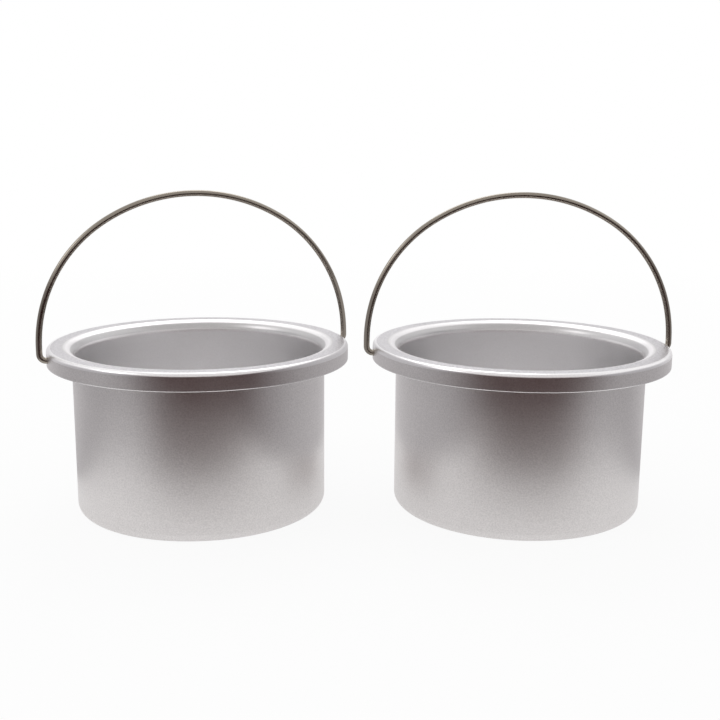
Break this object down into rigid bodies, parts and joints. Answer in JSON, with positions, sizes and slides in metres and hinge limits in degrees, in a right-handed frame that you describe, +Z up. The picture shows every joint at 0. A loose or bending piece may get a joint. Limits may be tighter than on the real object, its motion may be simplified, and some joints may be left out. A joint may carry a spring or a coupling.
{
  "type": "pair of wax heater pots with bail handles",
  "caption": "Pair of drawn aluminium pots for a wax heater, each a straight round bowl with a flat rim, turned-down skirt and a swinging wire bail.",
  "frame": {"origin": "middle of the pair's outer box, on the surface that the pots stand on", "axes": "+X from the left pot to the right pot as the picture shows them, +Y away from the camera, +Z up"},
  "size_m": [0.2644, 0.125, 0.133],
  "materials": {
    "pot_aluminium": "satin anodised",
    "bail_steel": "drawn wire, dull bright"
  },
  "bodies": {
    "left_pot": {"left_pot": "pot_aluminium"},
    "left_bail": {"left_bail": "bail_steel"},
    "right_pot": {"right_pot": "pot_aluminium"},
    "right_bail": {"right_bail": "bail_steel"}
  },
  "joints": [
    {"name": "left_bail_swing", "type": "hinge", "parent": "left_pot", "child": "left_bail", "pos_m": [-0.06972, 0, 0.0664], "axis": [0.9304, 0.3665, 0], "range_deg": [-121, 127]},
    {"name": "right_pot_lift", "type": "slide", "parent": "left_pot", "child": "right_pot", "axis": [0, 0, 1], "range_m": [0, 0.15]},
    {"name": "right_bail_swing", "type": "hinge", "parent": "right_pot", "child": "right_bail", "pos_m": [0.06578, 0, 0.0664], "axis": [0.9969, 0.0785, 0], "range_deg": [-121, 127]}
  ]
}
